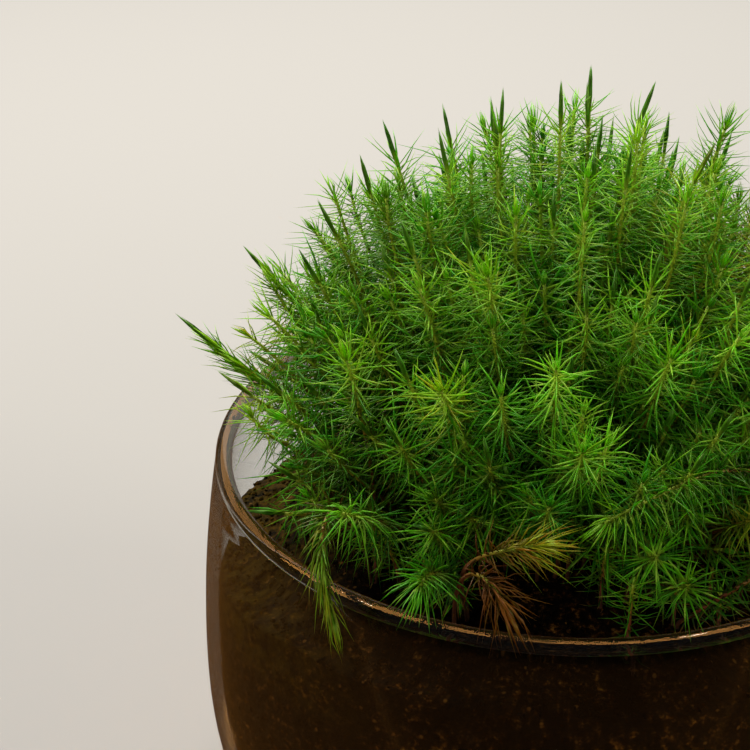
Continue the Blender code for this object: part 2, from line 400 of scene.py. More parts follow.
def make_soil_body():
    rings = round(soil_side[-1][0] / SOIL_RING)
    top = [(soil_side[-1][0] * (1 - i / rings), SOIL_EDGE) for i in range(1, rings)]
    piece = draw_rings([*soil_side, *top], SOIL_SIDES)
    let_down(piece)
    press_in(piece, "VORONOI", 1.2 * MM, 0.5 * MM)
    press_in(piece, "CLOUDS", 3.0 * MM, 0.3 * MM)
    return settle(piece, "soil_body")


soil_body = make_soil_body()
bpy.ops.object.shade_smooth()
print("soil:", count_triangles(soil_body), "triangles")

# %% [markdown]
# Damp peat is nearly black. Lighter crumbs and fibres show in it as small specks, in clusters. A
# fine noise gives the crumbs, a coarse one gathers them in patches, and a cell pattern scatters a
# few pale bits of bark and sand. At the upper left, where the lamps fall on the soil, its surface
# is a lighter olive, partly a film of green algae and partly painted light.

# %% The soil's finish
ALGAE_AND_LIGHT_FROM = -26 * MM
ALGAE_AND_LIGHT_FULL = -42 * MM


def make_soil_finish():
    made, tree, shader = new_material("potting soil")
    place = add_node(tree, "ShaderNodeTexCoord").outputs["Object"]
    tones = (
        (0.36, (0.001, 0.0005, 0.0002)),
        (0.5, (0.003, 0.0013, 0.0004)),
        (0.58, (0.014, 0.0055, 0.001)),
        (0.65, (0.06, 0.024, 0.004)),
        (0.75, (0.18, 0.085, 0.018)),
    )
    crumb = ramp(tree, noise(tree, place, 1000, 6, 0.62), tones)
    patches = span(tree, noise(tree, place, 160, 4, 0.6), 0.4, 0.62, 0.15, 1.6)
    crumb = mixed(tree, 1.0, crumb, patches, "MULTIPLY")
    cells = add_node(tree, "ShaderNodeTexVoronoi", {"Scale": 700})
    join(tree, place, cells.inputs["Vector"])
    bit = span(tree, cells.outputs["Distance"], 0.12, 0.24, 1.0, 0.0)
    pick = add_node(tree, "ShaderNodeSeparateColor")
    join(tree, cells.outputs["Color"], pick.inputs[0])
    some = span(tree, pick.outputs["Red"], 0.86, 0.92, 0.0, 0.8)
    crumb = mixed(tree, mixed(tree, 1.0, bit, some, "MULTIPLY"), crumb, (0.11, 0.05, 0.012))
    apart = add_node(tree, "ShaderNodeSeparateXYZ")
    join(tree, place, apart.inputs[0])
    # The olive coat at the upper left is partly algae and partly painted light where the lamps fall.
    lit = span(tree, apart.outputs["Z"], 38 * MM, 42 * MM, 0.0, 1.0)
    left = span(tree, apart.outputs["X"], ALGAE_AND_LIGHT_FROM, ALGAE_AND_LIGHT_FULL, 0.0, 1.0)
    algae_and_light = mixed(tree, 1.0, lit, left, "MULTIPLY")
    patchy_cover = span(tree, noise(tree, place, 500, 5, 0.7), 0.38, 0.62, 0.0, 0.75)
    algae_and_light = mixed(tree, 1.0, algae_and_light, patchy_cover, "MULTIPLY")
    crumb = mixed(tree, algae_and_light, crumb, (0.045, 0.028, 0.001))
    join(tree, crumb, shader.inputs["Base Color"])
    join(tree, span(tree, noise(tree, place, 300, 2), 0.3, 0.7, 0.75, 1.0), shader.inputs["Roughness"])
    shader.inputs["Specular IOR Level"].default_value = 0.05
    bump(tree, noise(tree, place, 1800, 4, 0.65), 0.7, 0.25 * MM, shader)
    return made


soil_finish = make_soil_finish()
soil_body.data.materials.append(soil_finish)
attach(soil_body, "root")
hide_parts("soil")

# %% [markdown]
# ## Many copies of one shape
#
# Leaves, stems and crumbs repeat thousands of times. Each is modelled once, as a small closed
# mesh of unit size, and its points are then placed as many times as needed with arrays of
# numbers. The copies are joined in one mesh, which keeps them all as real geometry.

# %% Helpers for joined copies
def template_of(piece):
    """(points, faces) of a modelled shape, which is then removed."""
    points = np.array([vertex.co for vertex in piece.data.vertices])
    faces = [list(face.vertices) for face in piece.data.polygons]
    bpy.data.objects.remove(piece, do_unlink=True)
    return points, faces


def joined_faces(faces, copies, size):
    """The template's faces, repeated for each copy of this many points."""
    corners = np.concatenate([np.array(face) for face in faces])
    lengths = np.tile([len(face) for face in faces], copies)
    steps = np.arange(copies) * size
    return (corners[None, :] + steps[:, None]).ravel(), lengths


def joined_mesh(name, parts, finishes):
    """One object from parts, each (points, corner numbers, face lengths, attributes, finish)."""
    points = np.concatenate([part[0] for part in parts])
    starts = np.cumsum([0] + [len(part[0]) for part in parts[:-1]])
    corners = np.concatenate([part[1] + start for part, start in zip(parts, starts)])
    lengths = np.concatenate([part[2] for part in parts])
    mesh = bpy.data.meshes.new(name)
    mesh.vertices.add(len(points))
    mesh.vertices.foreach_set("co", points.astype(np.float32).ravel())
    mesh.loops.add(len(corners))
    mesh.loops.foreach_set("vertex_index", corners.astype(np.int32))
    mesh.polygons.add(len(lengths))
    mesh.polygons.foreach_set("loop_start", np.concatenate(([0], np.cumsum(lengths)[:-1])).astype(np.int32))
    finish = np.concatenate([np.full(len(part[2]), part[4]) for part in parts])
    mesh.polygons.foreach_set("material_index", finish.astype(np.int32))
    mesh.polygons.foreach_set("use_smooth", np.ones(len(lengths), bool))
    for key in parts[0][3]:
        values = np.concatenate([part[3][key] for part in parts])
        mesh.attributes.new(key, "FLOAT", "POINT").data.foreach_set("value", values.astype(np.float32))
    mesh.update(calc_edges=True)
    mesh.validate()
    for material in finishes:
        mesh.materials.append(material)
    piece = bpy.data.objects.new(name, mesh)
    bpy.context.scene.collection.objects.link(piece)
    return piece


# %% [markdown]
# ## Loose crumbs
#
# On top of the soil lie loose crumbs of all sizes. One is a ball of twenty faces, squashed and
# roughened in edit mode. The copies get their own size, turn and proportions, and rest on the
# mound with their lower third in it.

# %% Scatter the crumbs
CRUMBS = 5000
CRUMB_REACH = 1.25


def model_crumb():
    start_piece()
    bpy.ops.mesh.primitive_ico_sphere_add(subdivisions=1, radius=1)
    piece = bpy.context.object
    edit_mode()
    bpy.ops.transform.vertex_random(offset=0.28, seed=4)
    bpy.ops.transform.resize(value=(1.0, 0.8, 0.65))
    edit_mode(False)
    return template_of(piece)


def random_turns(count, dice):
    """As many random rotations, as matrices."""
    q = dice.normal(size=(count, 4))
    w, x, y, z = (q / np.linalg.norm(q, axis=1)[:, None]).T
    rows = (
        (1 - 2 * (y * y + z * z), 2 * (x * y - z * w), 2 * (x * z + y * w)),
        (2 * (x * y + z * w), 1 - 2 * (x * x + z * z), 2 * (y * z - x * w)),
        (2 * (x * z - y * w), 2 * (y * z + x * w), 1 - 2 * (x * x + y * y)),
    )
    return np.array(rows).transpose(2, 0, 1)


def scatter_crumbs():
    dice = np.random.default_rng(21)
    size = dice.uniform(0.18, 0.36, CRUMBS) * MM * dice.choice([1.0, 1.0, 1.6], CRUMBS)
    reach = BELLY_RADIUS - WALL - CRUMB_REACH * size
    across = reach * np.sqrt(dice.uniform(0, 1, CRUMBS))
    around = dice.uniform(0, 2 * math.pi, CRUMBS)
    x, y = across * np.cos(around), across * np.sin(around)
    middle = np.stack((x, y, soil_height(x, y) - 0.15 * size), axis=1)
    points, faces = model_crumb()
    placed = np.einsum("nij,pj->npi", random_turns(CRUMBS, dice), points)
    placed = placed * size[:, None, None] + middle[:, None, :]
    corners, lengths = joined_faces(faces, CRUMBS, len(points))
    return joined_mesh("loose_crumbs", [(placed.reshape(-1, 3), corners, lengths, {}, 0)], [soil_finish])


loose_crumbs = scatter_crumbs()
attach(loose_crumbs, "root")
print("crumbs:", count_triangles(loose_crumbs), "triangles")

# %% [markdown]
# ## Where the shoots stand
#
# The shoots that shape the clump stand where the measured model has them, so their rule is the
# same: some are listed one by one, and the others fill the dome evenly, each turned a golden angle
# from the last. Every shoot follows a smooth curve with four handles, from its root in the soil
# to its tip.

# %% The rule for the shoots
DOME_RADIUS = 50 * MM
DOME_HEIGHT = 50 * MM
DOME_SINK = 5 * MM
DOME_LOWEST = math.radians(76)
ROOT_SHARE = 0.56
RISE_SHARE = 0.36
HEADING_SHARE = 0.34
LEAN_SHARE = 0.2
TIP_LIFT = 0.35
GOLDEN_ANGLE = math.pi * (3 - math.sqrt(5))
RULE_SHOOTS = 35
TIP_SPACING = 10.5 * MM
STEM_SPACING = 3.2 * MM
UP = Vector((0, 0, 1))
PLACED_SHOOTS = (
    ((-20, 6), (-44, 9, 26), (-6, 1, 8)),
    ((-19, -4), (-36, -3, 31), (-4, -1, 9)),
    ((-16, 8), (-28, 5, 41), (-2, 0, 9)),
    ((-13, 15), (-25, 17, 41), (-3, 2, 9)),
    ((-9, -1), (-18, 0, 46.5), (-2, 0, 9)),
    ((-5, 6), (-9, 8, 49), (1, 1, 9)),
    ((-1, -1), (-2, 4, 51.5), (0, 1, 9)),
    ((3, 10), (3, 17, 49), (0, 2, 9)),
    ((7, 4), (11, 8, 49.5), (4, 1, 8)),
    ((6, -6), (6, -9, 48), (1, -1, 9)),
    ((11, -5), (17, -7, 47), (5, -1, 8)),
    ((-25, -18), (-30, -25, 28), (-2, -3, 9)),
    ((-14, -22), (-19, -34, 28), (-3, -5, 7)),
    ((-10, -13), (-13, -25, 39), (-2, -4, 8)),
    ((-5, -24), (-5, -36, 32), (-1, -5, 7)),
    ((-14, -30), (-21, -46, 5), (-1, -8, -3)),
    ((6, -28), (8, -47, 11), (0, -9, 4)),
)
BENT_SHOOTS = (
    ((-24, 3, -8), (-32, 3, 2), (-44, 3, 8), (-53, 3, 19)),
    ((-26, -22, -8), (-32, -25, 16), (-35, -40, 8), (-30, -43, -3)),
    ((27, -20, -8), (27, -30, 22), (12, -37, 17), (-1, -45, 14)),
    ((12, -31, -9), (13, -42, 0), (22, -41, 8), (33, -41, 13)),
)


def curve_point(handles, share):
    a, b, c, d = handles
    rest = 1 - share
    return a * rest**3 + b * (3 * rest * rest * share) + c * (3 * rest * share * share) + d * share**3


def curve_points(handles, count):
    return [curve_point(handles, i / (count - 1)) for i in range(count)]


def from_mouth(point):
    return Vector((point[0] * MM, point[1] * MM, JAR_HEIGHT + point[2] * MM))


def rising_handles(root, tip, heading):
    """A shoot that stands up from its root and bends over to point its tip the given way."""
    start = Vector((root[0], root[1], SOIL_EDGE + SOIL_RISE / 2))
    span_to_tip = (tip - start).length
    lean = Vector((tip.x - start.x, tip.y - start.y, 0))
    first = start + UP * RISE_SHARE * span_to_tip + lean * LEAN_SHARE
    return start, first, tip - heading.normalized() * HEADING_SHARE * span_to_tip, tip


def rule_shoot(index, count, chance, lowest=DOME_LOWEST, stretch=(0.93, 1.03), sway=0.08):
    """One of count shoots spread evenly over the dome, each turned a golden angle from the last."""
    share = (index + 0.5) / count
    polar = math.acos(1 - share * (1 - math.cos(lowest)))
    around = index * GOLDEN_ANGLE + chance.uniform(-sway, sway)
    grown = chance.uniform(*stretch)
    across = DOME_RADIUS * math.sin(polar) * grown
    rise = (DOME_HEIGHT + DOME_SINK) * math.cos(polar) * grown
    out = Vector((across * math.cos(around), across * math.sin(around), rise))
    tip = out + UP * (JAR_HEIGHT - DOME_SINK)
    root = (tip.x * ROOT_SHARE, tip.y * ROOT_SHARE)
    return rising_handles(root, tip, out.normalized() + UP * TIP_LIFT)


def stands_apart(handles, others):
    if min((handles[3] - other[3]).length for other in others) < TIP_SPACING:
        return False
    near = [point for other in others for point in curve_points(other, 21)]
    return min((a - b).length for a in curve_points(handles, 21)[3:] for b in near) > STEM_SPACING


def shoot_curves():
    by_hand = []
    for root, tip, heading in PLACED_SHOOTS:
        start = (root[0] * MM, root[1] * MM)
        by_hand.append(rising_handles(start, from_mouth(tip), Vector(heading)))
    for handles in BENT_SHOOTS:
        by_hand.append(tuple(from_mouth(point) for point in handles))
    count = RULE_SHOOTS
    while True:
        chance = random.Random(11)
        filling = [rule_shoot(i, count, chance) for i in range(count)]
        apart = [handles for handles in filling if stands_apart(handles, by_hand)]
        if len(apart) >= RULE_SHOOTS:
            return by_hand + apart[:RULE_SHOOTS]
        count += 1


tall_shoots = shoot_curves()
print("tall shoots:", len(tall_shoots))

# %% [markdown]
# Between the tall shoots stand many more, shorter ones, which fill the clump. They follow the
# same rule on a slightly smaller dome, but stand more upright, and one that would crowd a tip that
# is already there is left out. Each also sways a little its own way. Deeper in stand old ones that
# never reached the light, and at the foot small ones fill the ring of soil up to the glass. At
# the front of the clump in the photograph is a dark hollow, and at the left the soil is bare.

# %% The shorter shoots between them
SHORT_SHOOTS = 340
SHORT_SPACING = 4.6 * MM
INNER_SHOOTS = 300
LOW_SHOOTS = 90
ROOT_DEPTH = 3 * MM
HOLLOWS = (((-7, -41, 0), 13), ((13, -42, -2), 9), ((-24, -38, 0), 9), ((-29, -32, 6), 7))
BARE_SIDE = (math.radians(100), math.radians(215))
BARE_BELOW = JAR_HEIGHT + 4 * MM
BARE_FROM = 27 * MM
BARE_FROM_INSIDE = 36 * MM


def in_a_hollow(tip, bare_from=BARE_FROM):
    if any((tip - from_mouth(place)).length < reach * MM for place, reach in HOLLOWS):
        return True
    around = math.atan2(tip.y, tip.x) % (2 * math.pi)
    at_the_side = BARE_SIDE[0] < around < BARE_SIDE[1] and math.hypot(tip.x, tip.y) > bare_from
    return at_the_side and tip.z < BARE_BELOW


def short_curves(chance):
    chosen = []
    taken = [handles[3] for handles in tall_shoots]
    for i in range(SHORT_SHOOTS):
        start, first, last, tip = rule_shoot(i, SHORT_SHOOTS, chance, math.radians(80), (0.8, 1.0), 0.2)
        sway = Vector([chance.uniform(-1, 1) for _ in range(3)]) * 3 * MM
        upright = (tip - last).length * (UP - (tip - last).normalized()) * chance.uniform(0.1, 0.9)
        crowded = min((tip - other).length for other in taken) < SHORT_SPACING
        if not crowded and not in_a_hollow(tip):
            chosen.append((start, first + sway, last - sway - upright, tip))
            taken.append(tip)
    return chosen


def inner_curves(chance):
    """Old shoots inside the clump, which keep daylight from showing through it."""
    grown = [
        rule_shoot(i, INNER_SHOOTS, chance, math.radians(80), (0.5, 0.88), 0.3)
        for i in range(INNER_SHOOTS)
    ]
    return [handles for handles in grown if not in_a_hollow(handles[3], BARE_FROM_INSIDE)]


def low_curves(chance):
    """The small shoots at the clump's foot, between it and the glass."""
    made = []
    for i in range(LOW_SHOOTS):
        around = i * GOLDEN_ANGLE
        reach = chance.uniform(30, 40) * MM
        out = Vector((math.cos(around), math.sin(around), 0))
        tip = out * min(reach + chance.uniform(0, 4) * MM, 42 * MM)
        tip += UP * (JAR_HEIGHT + chance.uniform(-3, 5) * MM)
        start, first, last, tip = rising_handles((out.x * reach, out.y * reach), tip, out * 0.3 + UP)
        start.z = soil_height(start.x, start.y)
        if not in_a_hollow(tip):
            made.append((start, first, last, tip))
    return made


short_shoots = short_curves(random.Random(3))
inner_shoots = inner_curves(random.Random(4))
low_shoots = low_curves(random.Random(5))
print("short shoots:", len(short_shoots), "inner:", len(inner_shoots), "low:", len(low_shoots))

# %% [markdown]
# ## One leaf, one stem
#
# A haircap leaf is a stiff, narrow blade with a keel below, broadest near its base and drawn out
# to a fine point. It is modelled upright and one unit long: a flat triangle is pulled up and
# narrowed ring by ring, and its last ring is merged into the tip. A leaf with one ring less does
# for the thousands on the short shoots. The stem is a five-sided rod with enough rings to bend.

# %% Model a leaf and a stem
FULL_RINGS = ((0.3, 1.05), (0.68, 0.6), (1.0, 0.02))
SIMPLE_RINGS = ((0.5, 0.9), (1.0, 0.02))
STEM_RINGS = 14


def model_leaf(rings):
    start_piece()
    bpy.ops.mesh.primitive_circle_add(vertices=3, radius=1 / math.sqrt(3), fill_type="NGON")
    piece = bpy.context.object
    edit_mode()
    bpy.ops.transform.resize(value=(1, 0.5, 1))
    height, width = 0, 1
    for new_height, new_width in rings:
        pull(new_height - height, new_width / width)
        height, width = new_height, new_width
    bpy.ops.mesh.merge(type="CENTER")
    bpy.ops.mesh.select_all(action="SELECT")
    bpy.ops.mesh.normals_make_consistent(inside=False)
    edit_mode(False)
    return template_of(piece)


def model_stem():
    start_piece()
    bpy.ops.mesh.primitive_circle_add(vertices=5, radius=1, fill_type="NGON")
    piece = bpy.context.object
    edit_mode()
    for _ in range(STEM_RINGS):
        pull(1 / STEM_RINGS, 1)
    bpy.ops.mesh.select_all(action="SELECT")
    bpy.ops.mesh.normals_make_consistent(inside=False)
    edit_mode(False)
    return template_of(piece)


FULL_LEAF = model_leaf(FULL_RINGS)
SIMPLE_LEAF = model_leaf(SIMPLE_RINGS)
STEM_POINTS, STEM_FACES = model_stem()
print("leaf:", len(FULL_LEAF[0]), "points, or", len(SIMPLE_LEAF[0]), "for the simple one")

# %% [markdown]
# ## Growing a shoot
#
# Leaves stand round the stem in a spiral, each a golden angle from the last. Low on the stem
# they spread flat or bend back, higher up they stand more and more along it, and at the tip the
# youngest are still folded together in a closed spear. Every leaf also has a bend of its own.
# The leaf's points are bent along an arc, then set on the stem. An age runs from 0 for the lowest
# leaf to 1 for the highest, and tables of it give how far the leaves stand from the stem, how
# they bend and how long they are.

# %% The leaves of one shoot
LEAF_LENGTH = 6.2 * MM
LEAF_WIDTH = 0.25 * MM
LEAF_STEP = 0.135 * MM
LOW_LEAVES_THIN_OUT = 0.68
SPEAR_LENGTH = 6.5 * MM
SPEAR_LEAVES = 7
SPEAR_WIDTH = 0.46 * MM
SPEAR_AGE = 1.25
OPEN_LEAVES = 6
STEM_WIDE = 0.3 * MM
STEM_FINE = 0.2 * MM
OPEN_STANCE = ((0, 97), (0.75, 86), (0.93, 70), (1, 38))
SHUT_STANCE = ((0, 102), (0.6, 94), (0.92, 84), (0.985, 56), (1, 30))
BEND = ((0, -42), (0.6, -28), (1, -10))
GROWTH = ((0, 0.42), (0.35, 0.72), (0.7, 1), (1, 0.88))


def from_table(table, age):
    ages, values = zip(*table)
    return np.interp(age, ages, values)


def along_curve(handles, shares):
    """Points and directions of a curve at these shares of its way, as arrays."""
    a, b, c, d = (np.array(handle) for handle in handles)
    s = np.asarray(shares)[:, None]
    points = a * (1 - s) ** 3 + 3 * b * (1 - s) ** 2 * s + 3 * c * (1 - s) * s**2 + d * s**3
    ahead = (b - a) * (1 - s) ** 2 + 2 * (c - b) * (1 - s) * s + (d - c) * s**2
    return points, ahead / np.linalg.norm(ahead, axis=1)[:, None]


def frames_of(handles, ahead):
    """Two directions across the stem at each place, without a sudden twist."""
    lean = np.array(handles[3] - handles[0])
    across = np.cross(lean, (0.0, 0.0, 1.0))
    if np.linalg.norm(across) < MM:
        across = np.array((1.0, 0.0, 0.0))
    first = across - ahead * (ahead @ across)[:, None]
    first /= np.linalg.norm(first, axis=1)[:, None]
    return first, np.cross(ahead, first)


def bent_leaves(shape, base, ahead, out, angle, bend, length, width, sag):
    """Every leaf's points: angle is how far it stands from the stem, bend how much it arches away
    from it, and sag how far its tip hangs, as a share of its length."""
    t = shape[:, 2][None, :]
    bend = np.where(abs(bend) < 0.01, 0.01, bend)[:, None]
    angle = angle[:, None]
    forward = length[:, None] * (np.sin(angle + bend * t) - np.sin(angle)) / bend
    outward = length[:, None] * (np.cos(angle) - np.cos(angle + bend * t)) / bend
    side = np.cross(ahead, out)
    turn = angle + bend * t
    above_ahead, above_out = np.sin(turn), -np.cos(turn)
    wide = shape[:, 0][None, :] * width[:, None]
    thick = shape[:, 1][None, :] * width[:, None]
    along_part = (forward + thick * above_ahead)[..., None] * ahead[:, None, :]
    out_part = (outward + thick * above_out)[..., None] * out[:, None, :]
    points = base[:, None, :] + along_part + out_part + wide[..., None] * side[:, None, :]
    points[..., 2] -= (sag * length)[:, None] * t**2
    return points


# %% [markdown]
# A leaf can't grow through the glass or into the ground. One that would is made shorter, and
# one that still would is left off, as a real one withers or bends away.

# %% Keep the leaves clear
def in_the_way(points):
    """Which leaves have a point in the jar's wall or below the soil's surface."""
    across = np.hypot(points[..., 0], points[..., 1])
    low = points[..., 2] < JAR_HEIGHT + 0.2 * MM
    in_wall = low & (abs(across - LIP_MIDDLE) < LIP_RADIUS + 0.2 * MM)
    ground = soil_height(points[..., 0], points[..., 1])
    in_soil = (points[..., 2] < ground + 0.2 * MM) & (across < LIP_MIDDLE)
    return (in_wall | in_soil).any(axis=1)


def spread_leaves(count, first, last, dice, stance):
    """The open leaves: (share of the way, turn, angle, bend, size, age) of each, as rows."""
    age = ((np.arange(count) + 0.5) / max(count, 1)) ** LOW_LEAVES_THIN_OUT
    turns = np.arange(count) * GOLDEN_ANGLE + dice.normal(0, 0.2, count)
    angle = from_table(stance, age) * dice.uniform(0.9, 1.12) + dice.normal(0, 9, count)
    bend = from_table(BEND, age) + dice.normal(0, 18, count)
    size = from_table(GROWTH, age) * dice.normal(1, 0.14, count)
    return np.array((first + (last - first) * age, turns, np.radians(angle), np.radians(bend), size, age))


def folded_leaves(top, dice, open_tip, spear):
    """The youngest leaves, all from one place: shut in a spear, or just opening."""
    count = OPEN_LEAVES if open_tip else SPEAR_LEAVES
    angle = dice.uniform(12, 34, count) if open_tip else dice.uniform(6, 9, count)
    bend = -angle * dice.uniform(1.7, 2.1, count)
    size = SPEAR_LENGTH * spear / LEAF_LENGTH * dice.uniform(0.85, 1.0, count) * (0.7 if open_tip else 1.0)
    turns = np.arange(count) * 2 * math.pi / count
    age = np.full(count, 1.0 if open_tip else SPEAR_AGE)
    return np.array((np.full(count, top), turns, np.radians(angle), np.radians(bend), size, age))


def shoot_parts(
    handles,
    dice,
    tone,
    leaf=FULL_LEAF,
    leafy_from=0.14,
    vigour=1.0,
    open_tip=False,
    sag=0.06,
    spear=1.0,
    crowd=1.0,
    fresh_and_shade=1.0,
    stance=None,
):
    """The leaves and the stem of one shoot, ready to be joined."""
    shape, faces = leaf
    stance = stance or (OPEN_STANCE if open_tip else SHUT_STANCE)
    way, _ = along_curve(handles, np.linspace(0, 1, 40))
    length = np.linalg.norm(np.diff(way, axis=0), axis=1).sum()
    top = 1 - SPEAR_LENGTH * spear * (0.45 if open_tip else 0.97) / length
    count = int((top - leafy_from) * length * LOW_LEAVES_THIN_OUT * crowd / LEAF_STEP)
    rows = (spread_leaves(count, leafy_from, top, dice, stance), folded_leaves(top, dice, open_tip, spear))
    shares, turns, angle, bend, size, age = np.concatenate(rows, axis=1)
    base, ahead = along_curve(handles, shares)
    first, second = frames_of(handles, ahead)
    out = first * np.cos(turns)[:, None] + second * np.sin(turns)[:, None]
    shut = age > 1.1
    length_of = LEAF_LENGTH * size * np.where(shut, 1.0, vigour)
    width_of = np.where(shut, SPEAR_WIDTH, LEAF_WIDTH) * vigour * dice.uniform(0.8, 1.2, len(size))
    sag_of = np.where(shut, 0.0, sag * dice.uniform(0.4, 1.6, len(size)))
    points = bent_leaves(shape, base, ahead, out, angle, bend, length_of, width_of, sag_of)
    for _ in range(4):
        length_of = np.where(in_the_way(points), length_of * 0.7, length_of)
        points = bent_leaves(shape, base, ahead, out, angle, bend, length_of, width_of, sag_of)
    free = ~in_the_way(points)
    points, age = points[free], age[free]
    leaves = len(points)
    corners, lengths = joined_faces(faces, leaves, len(shape))
    leaf_tone = np.clip(tone + dice.normal(0, 0.1, leaves), 0, 1)
    # A leaf's youth is scaled per plant: at random for its freshness, and for the inner shoots as painted
    # shade.
    marks = {
        "youth_and_shade": np.repeat(np.where(age > 1.1, 1.0, age / SPEAR_AGE * fresh_and_shade), len(shape)),
        "along": np.tile(shape[:, 2], leaves),
        "tone": np.repeat(leaf_tone, len(shape)),
    }
    leaf_part = (points.reshape(-1, 3), corners, lengths, marks, 0)
    return leaf_part, stem_part(handles, tone, top)


def stem_part(handles, tone, top):
    share = STEM_POINTS[:, 2] * (top + 0.01)
    middle, ahead = along_curve(handles, share)
    middle[share == 0, 2] -= ROOT_DEPTH
    first, second = frames_of(handles, ahead)
    wide = (STEM_WIDE + (STEM_FINE - STEM_WIDE) * share)[:, None]
    points = middle + wide * (first * STEM_POINTS[:, 0][:, None] + second * STEM_POINTS[:, 1][:, None])
    corners, lengths = joined_faces(STEM_FACES, 1, len(STEM_POINTS))
    marks = {"youth_and_shade": share, "along": share, "tone": np.full(len(share), tone)}
    return points, corners, lengths, marks, 1


# %% [markdown]
# ## The moss's colours
#
# Young leaves at the tips are a fresh yellow-green and let light through. Further down they turn
# deep green, and the oldest are olive and brown. Each plant has its own tone too, some of them
# dry and yellowish. The three numbers that each leaf carries, its youth, which also holds painted
# shade, the way along it and its plant's tone, drive the colour. The opening leaves at a tip and
# the bases of young leaves are painted lighter, a painted glow, and here and there a young leaf has
# a painted glint, pale and silvery.

# %% The finish of leaves and stems
def mark(tree, name):
    return add_node(tree, "ShaderNodeAttribute", attribute_name=name).outputs["Fac"]


def leaf_colour(tree, place):
    youth_and_shade, along, tone = (mark(tree, name) for name in ("youth_and_shade", "along", "tone"))
    # The stop at 0.8 in both ramps, for the leaves opening at a tip, is lighter than its neighbours: a
    # painted glow on leaves that stand in shade.
    greens = (
        (0.0, (0.012, 0.04, 0.001)),
        (0.2, (0.014, 0.11, 0.001)),
        (0.5, (0.042, 0.34, 0.002)),
        (0.72, (0.15, 0.6, 0.004)),
        (0.8, (0.24, 0.68, 0.02)),
        (1.0, (0.06, 0.27, 0.012)),
    )
    limes = (
        (0.0, (0.025, 0.04, 0.001)),
        (0.2, (0.05, 0.14, 0.001)),
        (0.5, (0.15, 0.4, 0.002)),
        (0.72, (0.33, 0.65, 0.005)),
        (0.8, (0.44, 0.72, 0.03)),
        (1.0, (0.13, 0.32, 0.012)),
    )
    browns = (
        (0.0, (0.12, 0.035, 0.006)),
        (0.4, (0.34, 0.12, 0.01)),
        (0.8, (0.62, 0.42, 0.02)),
        (1.0, (0.3, 0.3, 0.02)),
    )
    yellowish = span(tree, tone, 0.05, 0.5, 0.0, 1.0)
    plant = mixed(tree, yellowish, ramp(tree, youth_and_shade, greens), ramp(tree, youth_and_shade, limes))
    plant = mixed(tree, span(tree, tone, 0.5, 1.0, 0.0, 1.0), plant, ramp(tree, youth_and_shade, browns))
    # Leaf bases are pale, as a real sheath is, and young ones are painted lighter still: a painted glow at
    # the heart of each tip.
    sheath_and_glow = mixed(tree, span(tree, youth_and_shade, 0.3, 0.8, 0.0, 1.0), (0.08, 0.07, 0.006), (0.55, 0.68, 0.06))
    plant = mixed(tree, span(tree, along, 0.0, 0.32, 0.85, 0.0), plant, sheath_and_glow)
    towards_tip = span(tree, along, 0.55, 1.0, 0.0, 1.0)
    old = span(tree, youth_and_shade, 0.15, 0.5, 1.0, 0.0)
    scorched = mixed(tree, 1.0, towards_tip, old, "MULTIPLY")
    plant = mixed(tree, scorched, plant, (0.26, 0.11, 0.012))
    # Painted glint: pale silvery streaks on some young leaves stand in for highlights.
    glint_spots = span(tree, noise(tree, place, 420, 1), 0.56, 0.68, 0.0, 0.75)
    painted_glint = mixed(tree, 1.0, glint_spots, span(tree, youth_and_shade, 0.35, 0.6, 0.0, 1.0), "MULTIPLY")
    painted_glint = mixed(tree, 1.0, painted_glint, span(tree, youth_and_shade, 0.82, 0.9, 1.0, 0.0), "MULTIPLY")
    return mixed(tree, painted_glint, plant, (0.48, 0.72, 0.09))


def make_leaf_finish():
    made, tree, shader = new_material("moss leaf")
    place = add_node(tree, "ShaderNodeTexCoord").outputs["Object"]
    colour = leaf_colour(tree, place)
    mottle = span(tree, noise(tree, place, 900, 2), 0.3, 0.7, 0.8, 1.2)
    colour = mixed(tree, 1.0, colour, mottle, "MULTIPLY")
    join(tree, colour, shader.inputs["Base Color"])
    join(tree, span(tree, noise(tree, place, 1500, 2), 0.3, 0.7, 0.35, 0.55), shader.inputs["Roughness"])
    shader.inputs["Specular IOR Level"].default_value = 0.4
    bump(tree, noise(tree, place, 4000, 2), 0.25, 0.05 * MM, shader)
    glow = add_node(tree, "ShaderNodeBsdfTranslucent")
    join(tree, mixed(tree, 1.0, colour, (1.25, 1.2, 0.5), "MULTIPLY"), glow.inputs["Color"])
    mix = add_node(tree, "ShaderNodeMixShader", {"Fac": 0.4})
    join(tree, shader.outputs[0], mix.inputs[1])
    join(tree, glow.outputs[0], mix.inputs[2])
    join(tree, mix.outputs[0], tree.nodes["Material Output"].inputs["Surface"])
    return made


def make_stem_finish():
    made, tree, shader = new_material("moss stem")
    place = add_node(tree, "ShaderNodeTexCoord").outputs["Object"]
    bark = ramp(
        tree,
        mark(tree, "along"),
        (
            (0.0, (0.03, 0.012, 0.006)),
            (0.4, (0.17, 0.04, 0.012)),
            (0.58, (0.26, 0.16, 0.014)),
            (0.75, (0.3, 0.38, 0.015)),
            (1.0, (0.32, 0.52, 0.02)),
        ),
    )
    streaks = span(tree, noise(tree, place, 1200, 3), 0.3, 0.7, 0.65, 1.2)
    join(tree, mixed(tree, 1.0, bark, streaks, "MULTIPLY"), shader.inputs["Base Color"])
    join(tree, span(tree, streaks, 0.65, 1.2, 0.4, 0.65), shader.inputs["Roughness"])
    bump(tree, noise(tree, place, 3000, 2), 0.4, 0.05 * MM, shader)
    return made


moss_finishes = [make_leaf_finish(), make_stem_finish()]

# %% [markdown]
# ## The tall shoots
#
# Each tall shoot replaces its plain solid and stays where that is. A few stand out in the
# photograph: the dry, yellowish plants at the right, and one in the middle of the front.

